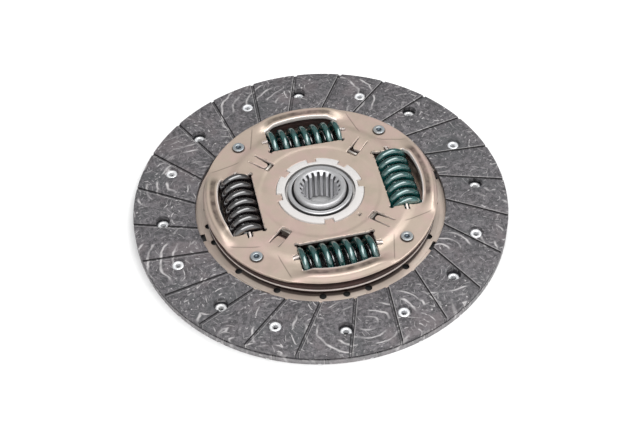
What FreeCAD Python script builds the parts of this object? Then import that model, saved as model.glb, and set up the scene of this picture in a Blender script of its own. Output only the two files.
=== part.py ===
import FreeCAD, Part
import math
import os

# Clutch disc with a sprung torsional damper, in millimetres.
# The origin is on the hub axis, in the plane of the lower friction face, and +Z points to the
# retaining plate. +X runs through the middle of the first damper window.

# Friction facings
facing_outer_r = 107.5
facing_bore_gap = 3.0
facing_thickness = 3.5
facing_floor = 1.5
cushion_gap = 1.5
groove_count = 24
groove_width = 1.8
groove_depth = 1.0
groove_offset = 25.0
groove_lead = -2.6

# Facing rivets
rivet_circle_r = 90.9
rivet_spread = 12.0
rivet_head_r = 3.3
rivet_head_height = 0.8
rivet_tail_height = 0.8
rivet_shank_r = 2.2
rivet_bore_r = 1.5
counterbore_clearance = 0.85

# Cushion disc
cushion_sheet = 0.7
cushion_ring_margin = 2.0
cushion_inner_gap = 0.3
cushion_setback = 1.5
paddle_count = 8
paddle_centre = 29.0
paddle_gap = 5.0
paddle_bend = 12.0
vent_count = 16
vent_lead = 11.1
vent_r = 2.0
vent_inset = 3.4

# Cover plates
plate_thickness = 2.0
plate_spacing = 8.6
spring_zone_rise = 1.2
hub_zone_drop = 0.4
hub_zone_r = 33.5
hub_zone_slope = 1.5
dish_width = 6.1
plate_edge_chamfer = 0.6
retaining_rim_width = 2.0
retaining_hole_r = 25.3
disc_rim_width = 1.8
disc_hole_r = 20.0
pilot_hole_r = 1.0
pilot_circle_r = 28.6
pilot_angle = 307.9

# Damper windows and the raised ridge outside each
window_count = 4
window_outer_r = 58.3
window_half_length = 21.7
window_lip_gap = 2.1
window_side_gap = 0.45
spring_side_gap = 0.5
spring_bed_gap = 0.3
relief_r = 1.3
relief_inset = 0.4
notch_position = 45.0
notch_depth = 3.3
notch_half_width = 1.5
notch_finger = 1.2
ridge_half_angle = 28.5
ridge_full_angle = 15.0
ridge_end_steps = 4
ridge_shoulder = 0.86
ridge_brow = 0.4
ridge_height = 3.8
ridge_lip_height = 3.1
ridge_crest_gap = 3.7
ridge_slope_width = 3.0
disc_ridge_crest_gap = 1.9
disc_ridge_slope_width = 2.0
ridge_sink = 0.3
scallop_margin = 0.5

# Slots with a bent tongue, between the windows
slot_inner_r = 33.5
slot_outer_r = 43.5
slot_width = 6.6
slot_corner_r = 1.0
tongue_width = 5.4
tongue_root_r = 47.5
tongue_tip_r = 39.4
tongue_drop = 1.8

# Stop pins
pin_lead = 41.5
pin_outset = 1.0
pin_seat_margin = 0.1
pin_r = 4.0
pin_neck_r = 3.0
pin_head_r = 3.6
pin_head_height = 1.4
pin_dimple_r = 1.3
pin_dimple_depth = 0.6

# Damper springs
spring_outer_r = 10.5
spring_wire_heavy = 4.4
spring_wire_light = 3.6
spring_turns = 6.7
inner_spring_outer_r = 6.0
inner_spring_wire = 2.2
inner_spring_turns = 10.3
spring_end_gap = 0.1
coil_run_on = 0.5
coil_steps = 14
wire_sides = 8
inner_coil_steps = 10
inner_wire_sides = 6

# Hub and hub flange
hub_boss_r = 14.95
hub_bottom_z = 0.5
hub_top_z = 21.8
hub_edge_chamfer = 0.7
flange_thickness = 3.6
flange_rim_width = 2.4
flange_seat_r = 18.0
hub_shoulder_r = 20.0
shoulder_gap = 0.1
damper_travel = 8.0
stop_clearance = 0.3
spline_teeth = 20
spline_major_r = 11.5
spline_minor_r = 9.8
spline_root_half = 0.6
spline_tip_half = 1.05
spline_lead = 10.5
mouth_chamfer = 1.1

# Parts between the hub flange and the cover plates
sleeve_outer_r = 18.6
sleeve_lip_r = 16.3
sleeve_seat_height = 2.5
sleeve_top_z = 19.1
running_clearance = 0.05
seat_clearance = 0.05
bush_top_z = 18.8
bush_inner_r = 20.0
bush_collar_r = 24.9
bush_flange_r = 27.5
bush_bearing_height = 2.0
bush_chamfer = 0.4
bush_notch_r = 22.0
bush_notch_angle = 13.5
bush_lug_gap = 0.3
washer_thickness = 1.2
washer_inner_r = 24.0
washer_outer_r = 34.5
thrust_sheet = 1.2
thrust_outer_r = 35.0
thrust_inner_gap = 0.5
tab_gap = 1.3
tab_height = 2.8
cone_sheet = 0.6
cone_radial_gap = 1.0

# Levels and radii worked out from the sizes above
cushion_mid_z = facing_thickness + cushion_gap / 2
facing_top_z = 2 * facing_thickness + cushion_gap
counterbore_r = rivet_head_r + counterbore_clearance
cushion_top_z = cushion_mid_z + cushion_sheet / 2
cushion_base_z = cushion_mid_z - cushion_sheet / 2
disc_rim_top_z = cushion_top_z + plate_thickness
damper_mid_z = disc_rim_top_z + plate_spacing / 2
rim_rise = plate_spacing / 2
retaining_rim_z = damper_mid_z + rim_rise
spring_zone_h = rim_rise + spring_zone_rise
hub_zone_h = spring_zone_h - hub_zone_drop
flange_top_z = damper_mid_z + flange_thickness / 2
flange_base_z = damper_mid_z - flange_thickness / 2
spring_axis_r = window_outer_r - window_lip_gap - spring_outer_r
window_inner = spring_axis_r - math.sqrt(spring_outer_r**2 - spring_zone_h**2) - window_side_gap
spring_reach = spring_axis_r + spring_outer_r + spring_side_gap
flange_window_inner = spring_axis_r - spring_outer_r - spring_side_gap
flange_window_outer_r = math.hypot(spring_reach, window_half_length)
retaining_rim_r = window_outer_r + ridge_crest_gap + ridge_slope_width + retaining_rim_width
disc_ridge_foot_r = window_outer_r + disc_ridge_crest_gap + disc_ridge_slope_width
disc_rim_r = disc_ridge_foot_r + disc_rim_width
pin_circle_r = window_outer_r + pin_outset
rim_zone_r = pin_circle_r - pin_head_r - pin_seat_margin
spring_zone_r = rim_zone_r - dish_width
flange_outer_r = pin_circle_r + pin_r + stop_clearance + flange_rim_width
cushion_ring_r = retaining_rim_r + cushion_ring_margin
cushion_inner_r = rim_zone_r + cushion_inner_gap
vent_circle_r = cushion_ring_r - vent_inset
facing_inner_r = cushion_ring_r + facing_bore_gap
window_corner = math.degrees(math.asin(window_half_length / window_outer_r))
window_step = 360.0 / window_count
notched_angles = [0, 45, 90, 135, 180, 270]
upper_stack_z = flange_top_z + washer_thickness
lower_stack_z = flange_base_z - washer_thickness
hub_zone_face_z = damper_mid_z + hub_zone_h

UP = FreeCAD.Vector(0, 0, 1)
ORIGIN = FreeCAD.Vector(0, 0, 0)


def vec(x, y, z=0.0):
    return FreeCAD.Vector(x, y, z)


def turned(shape, angle):
    copy = shape.copy()
    copy.rotate(ORIGIN, UP, angle)
    return copy


def polar(r, angle, z=0.0):
    a = math.radians(angle)
    return vec(r * math.cos(a), r * math.sin(a), z)


def around(shape, count, lead=0.0):
    return [turned(shape, lead + 360.0 * i / count) for i in range(count)]


def revolved(points, start=0.0, sweep=360.0):
    """Solid from (radius, height) points turned about the hub axis."""
    wire = Part.makePolygon([vec(r, 0, z) for r, z in points + points[:1]])
    solid = Part.Face(wire).revolve(ORIGIN, UP, sweep)
    return turned(solid, start)


def ring(inner, outer, low, high, start=0.0, sweep=360.0):
    return revolved([(inner, low), (outer, low), (outer, high), (inner, high)], start, sweep)


def cylinder(r, low, high, place=ORIGIN):
    return Part.makeCylinder(r, high - low, place + vec(0, 0, low))


def block(x0, x1, y0, y1, z0, z1):
    return Part.makeBox(x1 - x0, y1 - y0, z1 - z0, vec(x0, y0, z0))


def side_profile(points, width):
    """Prism of (x, z) points, centred on the XZ plane."""
    wire = Part.makePolygon([vec(x, -width / 2, z) for x, z in points + points[:1]])
    return Part.Face(wire).extrude(vec(0, width, 0))


def mirrored(shape):
    """The same form on the other side of the damper's middle plane."""
    return shape.mirror(vec(0, 0, damper_mid_z), UP)


def turned_over(shape):
    """The same form turned over about a paddle's centre line."""
    copy = shape.copy()
    copy.rotate(vec(0, 0, cushion_mid_z), polar(1, paddle_centre), 180)
    return copy


def single(shape):
    """The one solid that a boolean leaves, with split faces joined again."""
    return shape.removeSplitter().Solids[0]


# Friction facings

def facing_groove():
    low = math.sqrt(facing_inner_r**2 - groove_offset**2) - groove_width
    high = facing_outer_r
    half = groove_width / 2
    base = facing_top_z - groove_depth
    cut = block(low, high, groove_offset - half, groove_offset + half, base, facing_top_z + groove_depth)
    return turned(cut, groove_lead)


def rivet_places(side):
    """Rivet centres on every paddle, side -1 or 1 of its centre line."""
    angles = [paddle_centre + side * rivet_spread + 360.0 * i / paddle_count for i in range(paddle_count)]
    return [polar(rivet_circle_r, a) for a in angles]


def make_facing_upper():
    base = facing_top_z - facing_thickness
    blank = ring(facing_inner_r, facing_outer_r, base, facing_top_z)
    cuts = around(facing_groove(), groove_count)
    for place in rivet_places(-1):
        cuts.append(cylinder(counterbore_r, base + facing_floor, facing_top_z + groove_depth, place))
        cuts.append(cylinder(rivet_shank_r + seat_clearance, base - groove_depth, facing_top_z, place))
    for place in rivet_places(1):
        cuts.append(cylinder(counterbore_r, base - groove_depth, facing_top_z + groove_depth, place))
    return single(blank.cut(cuts))


def facing_rivet():
    """Tubular rivet on the hub axis: a head on the facing's floor and a tail under the paddle."""
    crest_base = facing_top_z - facing_thickness - cushion_sheet
    floor_top = facing_top_z - facing_thickness + facing_floor
    return revolved([
        (rivet_bore_r, crest_base - rivet_tail_height),
        (rivet_head_r, crest_base - rivet_tail_height),
        (rivet_head_r, crest_base),
        (rivet_shank_r, crest_base),
        (rivet_shank_r, floor_top),
        (rivet_head_r, floor_top),
        (rivet_head_r, floor_top + rivet_head_height),
        (rivet_bore_r, floor_top + rivet_head_height),
    ])


def make_facing_rivets_upper():
    rivets = []
    for place in rivet_places(-1):
        rivet = facing_rivet()
        rivet.translate(place)
        rivets.append(rivet)
    return Part.makeCompound(rivets)


# Cushion disc

def cushion_paddle():
    """One spring segment: its first half bears on the upper facing, its second on the lower."""
    high = facing_top_z - facing_thickness
    low = facing_thickness + cushion_sheet
    bend = paddle_bend / 2
    reach = facing_outer_r
    top = [(-reach, high), (-bend, high), (bend, low), (reach, low)]
    base = [(y, z - cushion_sheet) for y, z in reversed(top)]
    inner = cushion_ring_r - cushion_sheet
    outer = facing_outer_r - cushion_setback
    wire = Part.makePolygon([vec(0, y, z) for y, z in top + base + top[:1]])
    sheet = Part.Face(wire).extrude(vec(reach, 0, 0))
    spread = 360.0 / paddle_count - paddle_gap
    sector = ring(inner, outer, low - reach, high + reach, -spread / 2, spread)
    return turned(sheet.common(sector), paddle_centre)


def make_cushion_disc():
    body = ring(cushion_inner_r, cushion_ring_r, cushion_base_z, cushion_top_z)
    body = body.fuse(around(cushion_paddle(), paddle_count))
    low = cushion_base_z - cushion_gap
    high = cushion_top_z + cushion_gap
    half = ridge_half_angle + scallop_margin
    scallop = ring(spring_zone_r, disc_ridge_foot_r + seat_clearance, low, high, -half, 2 * half)
    cuts = around(scallop, window_count)
    for place in rivet_places(-1) + rivet_places(1):
        cuts.append(cylinder(rivet_shank_r + seat_clearance, low, high, place))
    for place in pin_places():
        cuts.append(cylinder(pin_neck_r + seat_clearance, low, high, place))
    vent = cylinder(vent_r, low, high, vec(vent_circle_r, 0))
    cuts += around(vent, vent_count, vent_lead)
    cuts += around(vent, window_count)
    return single(body.cut(cuts))


# Cover plates

def plate_blank(hole_r, rim_r):
    """Dished blank above the middle plane: hub zone, spring zone and rim zone."""
    inner = [
        (hole_r, hub_zone_h),
        (hub_zone_r, hub_zone_h),
        (hub_zone_r + hub_zone_slope, spring_zone_h),
        (spring_zone_r, spring_zone_h),
        (rim_zone_r, rim_rise),
        (rim_r, rim_rise),
    ]
    outer = [(r, h + plate_thickness) for r, h in reversed(inner[:-1])]
    edge = [(rim_r, rim_rise + plate_thickness - plate_edge_chamfer)]
    edge.append((rim_r - plate_edge_chamfer, rim_rise + plate_thickness))
    return revolved([(r, damper_mid_z + h) for r, h in inner + edge + outer])


def window_cutter(inner, outer_r):
    """Opening with a straight inner side and ends, and an outer side round the hub axis."""
    corner = math.sqrt(outer_r**2 - window_half_length**2)
    start = vec(corner, -window_half_length)
    end = vec(corner, window_half_length)
    back = vec(inner, window_half_length)
    front = vec(inner, -window_half_length)
    edges = [
        Part.Arc(start, vec(outer_r, 0), end).toShape(),
        Part.LineSegment(end, back).toShape(),
        Part.LineSegment(back, front).toShape(),
        Part.LineSegment(front, start).toShape(),
    ]
    opening = Part.Face(Part.Wire(edges)).extrude(vec(0, 0, 2 * damper_mid_z))
    x = inner + relief_inset
    y = window_half_length - relief_inset
    reliefs = [cylinder(relief_r, 0, 2 * damper_mid_z, vec(x, side * y)) for side in (-1, 1)]
    return opening.fuse(reliefs)


def spring_bed():
    """Room that the cover plates leave round a spring at the corners of its window."""
    start = vec(spring_axis_r, -window_half_length, damper_mid_z)
    return Part.makeCylinder(spring_outer_r + spring_bed_gap, 2 * window_half_length, start, vec(0, 1))


def ridge_section(crest_gap, slope_width, angle, fade, lip_fade):
    """Closed outline across the ridge at one angle, from the window's lip to the ridge's foot."""
    base = damper_mid_z + rim_rise + plate_thickness - ridge_sink
    lip_r = window_outer_r - ridge_sink
    crest_r = window_outer_r + crest_gap
    foot_r = crest_r + slope_width
    crest = (ridge_height + ridge_sink) * fade
    lip = (ridge_lip_height + ridge_sink) * lip_fade
    under = (ridge_sink - plate_thickness) / 2
    points = [
        (lip_r, lip),
        ((lip_r + crest_r) / 2, max(lip, crest * ridge_shoulder)),
        (crest_r, crest),
        (crest_r + slope_width * ridge_brow, crest * ridge_shoulder),
        (foot_r, 0),
        (foot_r, under),
        (lip_r, under),
    ]
    return Part.makePolygon([polar(r, angle, base + h) for r, h in points + points[:1]])


def ridge_end(crest_gap, slope_width, side):
    """End of a ridge, where the raised sheet runs down to the flat rim."""
    sections = []
    for i in range(ridge_end_steps + 1):
        run = i / ridge_end_steps
        angle = ridge_full_angle + (ridge_half_angle - ridge_full_angle) * run
        fade = math.cos(run * math.pi / 2)
        lip_fade = max(0, (window_corner - angle) / (window_corner - ridge_full_angle))
        sections.append(ridge_section(crest_gap, slope_width, side * angle, fade, lip_fade))
    return Part.makeLoft(sections, True, True)


def ridge_form(crest_gap, slope_width):
    """Solid that raises the sheet outside a window, level along the window's middle."""
    outline = ridge_section(crest_gap, slope_width, -ridge_full_angle, 1, 1)
    middle = Part.Face(outline).revolve(ORIGIN, UP, 2 * ridge_full_angle)
    return middle.fuse([ridge_end(crest_gap, slope_width, side) for side in (-1, 1)])


def notch_cutters():
    """Two slits at each end of a window, which leave a finger between them."""
    cuts = []
    for side in (-1, 1):
        for edge in (-1, 1):
            inner = notch_position + edge * notch_finger / 2
            outer = notch_position + edge * notch_half_width
            deep = window_half_length + notch_depth
            ends = sorted([side * (window_half_length - seat_clearance), side * deep])
            rows = sorted([inner, outer])
            cuts.append(block(rows[0], rows[1], ends[0], ends[1], damper_mid_z, 2 * damper_mid_z))
    return cuts


def windowed(blank, crest_gap, slope_width):
    """Blank with its ridges raised, hollowed from below, and its windows cut."""
    ridge = ridge_form(crest_gap, slope_width)
    hollow = ridge.copy()
    hollow.translate(vec(0, 0, -plate_thickness))
    raised = blank.fuse(around(ridge, window_count))
    cuts = around(hollow, window_count)
    cuts += around(window_cutter(window_inner, window_outer_r), window_count)
    cuts += around(spring_bed(), window_count)
    return raised.cut(cuts)


def slot_cutter():
    half = slot_width / 2
    slot = block(slot_inner_r, slot_outer_r, -half, half, damper_mid_z, 2 * damper_mid_z)
    corners = [e for e in slot.Edges if abs(e.tangentAt(e.FirstParameter).z) > 0.5]
    slot = slot.makeFillet(slot_corner_r, corners)
    slit = (slot_width - tongue_width) / 2
    slits = []
    for side in (-1, 1):
        rows = sorted([side * half, side * (half - slit)])
        inside = slot_outer_r - slot_corner_r * 2
        slits.append(block(inside, tongue_root_r, rows[0], rows[1], damper_mid_z, 2 * damper_mid_z))
    root = block(slot_outer_r - slot_corner_r, tongue_root_r, -half, half, damper_mid_z, 2 * damper_mid_z)
    return slot.fuse(slits + [root])


def slot_tongue():
    """Tongue left in the slot, bent down from its outer root towards the hub."""
    high = damper_mid_z + spring_zone_h + plate_thickness
    top = [(tongue_root_r + seat_clearance, high), (tongue_tip_r, high - tongue_drop)]
    base = [(r, z - plate_thickness) for r, z in reversed(top)]
    return side_profile(top + base, tongue_width)


def centre_hole_cutter():
    """Centre hole of the retaining plate, less the lugs that enter the bush's notches."""
    lug_r = bush_notch_r + bush_lug_gap
    lug_angle = bush_notch_angle - math.degrees(2 * bush_lug_gap / bush_notch_r)
    hole = cylinder(retaining_hole_r, damper_mid_z, 2 * damper_mid_z)
    root_r = retaining_hole_r + plate_thickness
    lugs = [
        ring(lug_r, root_r, damper_mid_z, 2 * damper_mid_z, a - lug_angle / 2, lug_angle)
        for a in notched_angles
    ]
    return hole.cut(lugs)


def pin_places():
    return [polar(pin_circle_r, pin_lead + window_step * i) for i in range(window_count)]


def make_retaining_plate():
    blank = plate_blank(bush_notch_r + bush_lug_gap, retaining_rim_r)
    plate = windowed(blank, ridge_crest_gap, ridge_slope_width)
    cuts = [centre_hole_cutter()]
    for notch in notch_cutters():
        cuts += around(notch, window_count)
    cuts += around(slot_cutter(), window_count, window_step / 2)
    cuts += [cylinder(pin_neck_r + seat_clearance, damper_mid_z, hub_top_z, p) for p in pin_places()]
    cuts.append(cylinder(pilot_hole_r, damper_mid_z, hub_top_z, polar(pilot_circle_r, pilot_angle)))
    plate = plate.cut(cuts)
    return single(plate.fuse(around(slot_tongue(), window_count, window_step / 2)))


def make_disc_plate():
    blank = plate_blank(disc_hole_r, disc_rim_r)
    plate = windowed(blank, disc_ridge_crest_gap, disc_ridge_slope_width)
    cuts = [cylinder(pin_neck_r + seat_clearance, damper_mid_z, hub_top_z, p) for p in pin_places()]
    return single(mirrored(plate.cut(cuts)))


def make_stop_pins():
    """Pins whose thick middle spaces the cover plates, riveted over outside them."""
    foot = cushion_base_z - pin_head_height
    seat = retaining_rim_z + plate_thickness
    top = seat + pin_head_height
    pins = []
    for place in pin_places():
        pin = revolved([
            (0, foot),
            (pin_head_r, foot),
            (pin_head_r, cushion_base_z),
            (pin_neck_r, cushion_base_z),
            (pin_neck_r, disc_rim_top_z),
            (pin_r, disc_rim_top_z),
            (pin_r, retaining_rim_z),
            (pin_neck_r, retaining_rim_z),
            (pin_neck_r, seat),
            (pin_head_r, seat),
            (pin_head_r, top),
            (pin_dimple_r, top),
            (pin_dimple_r, top - pin_dimple_depth),
            (0, top - pin_dimple_depth),
        ])
        pin.translate(place)
        pins.append(pin)
    return Part.makeCompound(pins)


# Damper springs

def wire_section(mean_r, wire, pitch, turn, sides):
    """Corners of the wire's section after so many turns round the Y axis."""
    a = 2 * math.pi * turn
    centre = vec(mean_r * math.cos(a), turn * pitch, -mean_r * math.sin(a))
    outward = vec(math.cos(a), 0, -math.sin(a))
    along = vec(-math.sin(a) * mean_r, pitch / (2 * math.pi), -math.cos(a) * mean_r)
    side = along.cross(outward).normalize()
    corners = []
    for k in range(sides):
        b = 2 * math.pi * (k + 0.5) / sides
        corners.append(centre + outward * (wire / 2 * math.cos(b)) + side * (wire / 2 * math.sin(b)))
    return corners


def facet(*corners):
    return Part.Face(Part.makePolygon(list(corners) + [corners[0]]))


def coil(outer_r, wire, turns, steps, sides):
    """Right-hand coil along Y in flat facets, with ground ends, between a window's two ends."""
    length = 2 * (window_half_length - spring_end_gap)
    pitch = length / turns
    mean_r = outer_r - wire / 2
    count = int(round((turns + 2 * coil_run_on) * steps))
    places = [i / steps - coil_run_on for i in range(count + 1)]
    sections = [wire_section(mean_r, wire, pitch, place, sides) for place in places]
    facets = [facet(*sections[0]), facet(*sections[-1])]
    for near, far in zip(sections, sections[1:]):
        for k in range(sides):
            facets.append(facet(near[k - 1], near[k], far[k]))
            facets.append(facet(near[k - 1], far[k], far[k - 1]))
    bar = Part.Solid(Part.Shell(facets))
    spring = bar.common(block(-outer_r, outer_r, 0, length, -outer_r, outer_r)).Solids[0]
    spring.translate(vec(spring_axis_r, -length / 2, damper_mid_z))
    return spring


# Hub, hub flange and the ring on the hub

def spline_gap():
    """Space between two teeth of the bore."""
    inner = spline_minor_r - spline_root_half
    points = [
        (inner, -spline_tip_half),
        (spline_major_r, -spline_root_half),
        (spline_major_r, spline_root_half),
        (inner, spline_tip_half),
    ]
    wire = Part.makePolygon([vec(x, y) for x, y in points + points[:1]])
    return turned(Part.Face(wire).extrude(vec(0, 0, 2 * hub_top_z)), spline_lead)


def make_hub():
    c = hub_edge_chamfer
    mouth_r = spline_major_r + mouth_chamfer / 2
    drop = mouth_r - spline_minor_r
    body = revolved([
        (spline_minor_r, hub_bottom_z + drop),
        (mouth_r, hub_bottom_z),
        (hub_boss_r - c, hub_bottom_z),
        (hub_boss_r, hub_bottom_z + c),
        (hub_boss_r, lower_stack_z + shoulder_gap),
        (hub_shoulder_r, lower_stack_z + shoulder_gap),
        (hub_shoulder_r, flange_base_z),
        (flange_seat_r, flange_base_z),
        (flange_seat_r, flange_top_z),
        (hub_boss_r, flange_top_z),
        (hub_boss_r, hub_top_z - c),
        (hub_boss_r - c, hub_top_z),
        (mouth_r, hub_top_z),
        (spline_minor_r, hub_top_z - drop),
    ])
    return single(body.cut(around(spline_gap(), spline_teeth)))


def stop_slot():
    """Curved slot that lets a stop pin swing through the damper's travel."""
    half_width = pin_r + stop_clearance
    extra = math.degrees(stop_clearance / pin_circle_r)
    swing = 2 * (damper_travel + extra)
    low = flange_base_z - flange_thickness
    high = flange_top_z + flange_thickness
    start = pin_lead - swing / 2
    slot = ring(pin_circle_r - half_width, pin_circle_r + half_width, low, high, start, swing)
    ends = [cylinder(half_width, low, high, polar(pin_circle_r, a)) for a in (start, start + swing)]
    return slot.fuse(ends)


def make_hub_flange():
    body = ring(flange_seat_r, flange_outer_r, flange_base_z, flange_top_z)
    cuts = around(window_cutter(flange_window_inner, flange_window_outer_r), window_count)
    cuts += around(stop_slot(), window_count)
    return single(body.cut(cuts))


def make_centering_sleeve():
    bore = hub_boss_r + seat_clearance
    seat_z = flange_top_z + sleeve_seat_height
    c = bush_chamfer
    return revolved([
        (bore, flange_top_z),
        (sleeve_outer_r, flange_top_z),
        (sleeve_outer_r, sleeve_top_z - c),
        (sleeve_outer_r - c, sleeve_top_z),
        (sleeve_lip_r, sleeve_top_z),
        (sleeve_lip_r, seat_z),
        (bore, seat_z),
    ])


# Bushes, washers, thrust plate and cone spring

def make_centering_bush():
    bearing_r = sleeve_outer_r + running_clearance
    c = bush_chamfer
    body = revolved([
        (bearing_r, upper_stack_z),
        (bush_flange_r, upper_stack_z),
        (bush_flange_r, hub_zone_face_z),
        (bush_collar_r, hub_zone_face_z),
        (bush_collar_r, bush_top_z),
        (bush_inner_r + c, bush_top_z),
        (bush_inner_r, bush_top_z - c),
        (bush_inner_r, upper_stack_z + bush_bearing_height),
        (bearing_r, upper_stack_z + bush_bearing_height),
    ])
    a = bush_notch_angle
    notch = ring(bush_notch_r, bush_flange_r + c, hub_zone_face_z, hub_top_z, -a / 2, a)
    notches = [turned(notch, place) for place in notched_angles]
    return single(body.cut(notches))


def make_lower_bush():
    bearing_r = hub_boss_r + running_clearance
    plate_face_z = 2 * damper_mid_z - hub_zone_face_z
    return revolved([
        (bearing_r, plate_face_z - plate_thickness),
        (disc_hole_r - seat_clearance, plate_face_z - plate_thickness),
        (disc_hole_r - seat_clearance, plate_face_z),
        (washer_outer_r, plate_face_z),
        (washer_outer_r, lower_stack_z),
        (bearing_r, lower_stack_z),
    ])


def make_friction_washer_upper():
    return ring(washer_inner_r, washer_outer_r, flange_top_z, upper_stack_z)


def make_friction_washer_lower():
    return ring(washer_inner_r, washer_outer_r, lower_stack_z, flange_base_z)


def make_thrust_plate():
    """Sheet ring with four tabs, each turned up into a slot of the retaining plate."""
    top = upper_stack_z + thrust_sheet
    body = ring(bush_flange_r + thrust_inner_gap, thrust_outer_r, upper_stack_z, top)
    end = slot_inner_r + tab_gap + thrust_sheet
    tab = side_profile([
        (thrust_outer_r - thrust_sheet, upper_stack_z),
        (end, upper_stack_z),
        (end, top + tab_height),
        (end - thrust_sheet, top + tab_height),
        (end - thrust_sheet, top),
        (thrust_outer_r - thrust_sheet, top),
    ], tongue_width)
    return single(body.fuse(around(tab, window_count, window_step / 2)))


def make_cone_spring():
    low = upper_stack_z + thrust_sheet
    inner = bush_flange_r + cone_radial_gap
    return revolved([
        (inner, low),
        (washer_outer_r, hub_zone_face_z - cone_sheet),
        (washer_outer_r, hub_zone_face_z),
        (inner, low + cone_sheet),
    ])


def build():
    springs = {
        "right": (0, spring_wire_heavy),
        "rear": (90, spring_wire_light),
        "left": (180, spring_wire_heavy),
        "front": (270, spring_wire_light),
    }
    upper_facing = make_facing_upper()
    upper_rivets = make_facing_rivets_upper()
    nodes = {
        "facing_upper": upper_facing,
        "facing_lower": turned_over(upper_facing),
        "facing_rivets_upper": upper_rivets,
        "facing_rivets_lower": turned_over(upper_rivets),
        "cushion_disc": make_cushion_disc(),
        "disc_plate": make_disc_plate(),
        "retaining_plate": make_retaining_plate(),
        "stop_pins": make_stop_pins(),
        "hub": make_hub(),
        "hub_flange": make_hub_flange(),
        "centering_sleeve": make_centering_sleeve(),
        "centering_bush": make_centering_bush(),
        "lower_bush": make_lower_bush(),
        "friction_washer_upper": make_friction_washer_upper(),
        "friction_washer_lower": make_friction_washer_lower(),
        "thrust_plate": make_thrust_plate(),
        "cone_spring": make_cone_spring(),
    }
    for name, (angle, wire) in springs.items():
        outer = coil(spring_outer_r, wire, spring_turns, coil_steps, wire_sides)
        nodes["damper_spring_" + name] = turned(outer, angle)
    sizes = (inner_spring_outer_r, inner_spring_wire, inner_spring_turns)
    inner = coil(*sizes, inner_coil_steps, inner_wire_sides)
    for name in ("rear", "front"):
        nodes["inner_spring_" + name] = turned(inner, springs[name][0])
    return nodes


os.makedirs("parts", exist_ok=True)
for node, shape in build().items():
    shape.exportStep("parts/" + node + ".step")
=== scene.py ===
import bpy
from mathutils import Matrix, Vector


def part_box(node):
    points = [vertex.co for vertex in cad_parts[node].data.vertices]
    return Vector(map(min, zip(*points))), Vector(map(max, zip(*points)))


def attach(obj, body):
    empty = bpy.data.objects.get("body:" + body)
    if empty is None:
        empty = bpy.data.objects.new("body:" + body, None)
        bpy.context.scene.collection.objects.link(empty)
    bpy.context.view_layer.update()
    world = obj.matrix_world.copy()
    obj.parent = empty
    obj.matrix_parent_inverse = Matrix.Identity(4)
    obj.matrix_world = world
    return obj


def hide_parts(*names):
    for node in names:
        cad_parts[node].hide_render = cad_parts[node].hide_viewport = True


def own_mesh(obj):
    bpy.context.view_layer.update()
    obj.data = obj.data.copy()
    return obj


bl_info = {
    "name": "Clutch Disc",
    "version": (1, 0, 0),
    "blender": (4, 5, 0),
    "location": "View3D > Sidebar > Clutch Disc",
    "description": "Finished pieces and materials for a sprung clutch disc",
    "category": "Object",
}

import contextlib
import functools
import math

import bmesh
import bpy
from mathutils import Matrix, Vector

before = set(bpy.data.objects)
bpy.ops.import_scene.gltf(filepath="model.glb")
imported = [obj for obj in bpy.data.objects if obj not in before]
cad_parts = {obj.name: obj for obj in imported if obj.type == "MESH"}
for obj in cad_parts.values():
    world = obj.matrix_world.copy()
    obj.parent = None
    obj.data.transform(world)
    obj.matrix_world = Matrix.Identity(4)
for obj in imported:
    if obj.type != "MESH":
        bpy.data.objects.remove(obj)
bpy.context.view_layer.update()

MM = 0.001
SMALL = 0.001 * MM
FULL_TURN = 2 * math.pi
QUARTER = FULL_TURN / 4
SMOOTH_LIMIT = 32
ROLL_CURVE = 0.7
RIDGE_RUN_OUT = 0.8
RIDGE_SHOULDER = 1.35
TONGUE_CURVE = 1.3
CORNER_REACH = 1.4 * MM
SOFTBOX_PLACE = (0.13, -0.20, 1.00)
SOFTBOX_SIZE = (1.6, 0.7)
SENSOR_WIDTH = 36
ARC_STEPS = 10
DIMPLE_STEPS = 5
STEPS_PER_RADIAN = 12
LUG_PLACES = (0, 45, 90, 135, 180, 270)
LIP_SLOPE = 3 * MM
WELD = 0.12 * MM
SLIVER = 0.05 * MM
NEAR_CLIP = 0.01
DISC = "disc"
HUB = "hub"


# Properties

def length(name, millimetres):
    return bpy.props.FloatProperty(name=name, default=millimetres * MM, precision=5, unit="LENGTH")


def angle(name, degrees):
    return bpy.props.FloatProperty(name=name, default=math.radians(degrees), subtype="ANGLE")


def count(name, number):
    return bpy.props.IntProperty(name=name, default=number, min=1)


def level(name, value):
    return bpy.props.FloatProperty(name=name, default=value, min=0)


def colour(name, *parts):
    return bpy.props.FloatVectorProperty(name=name, default=parts, subtype="COLOR", min=0, max=1)


def point(name, *parts):
    return bpy.props.FloatVectorProperty(name=name, default=parts, unit="LENGTH")


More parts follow.
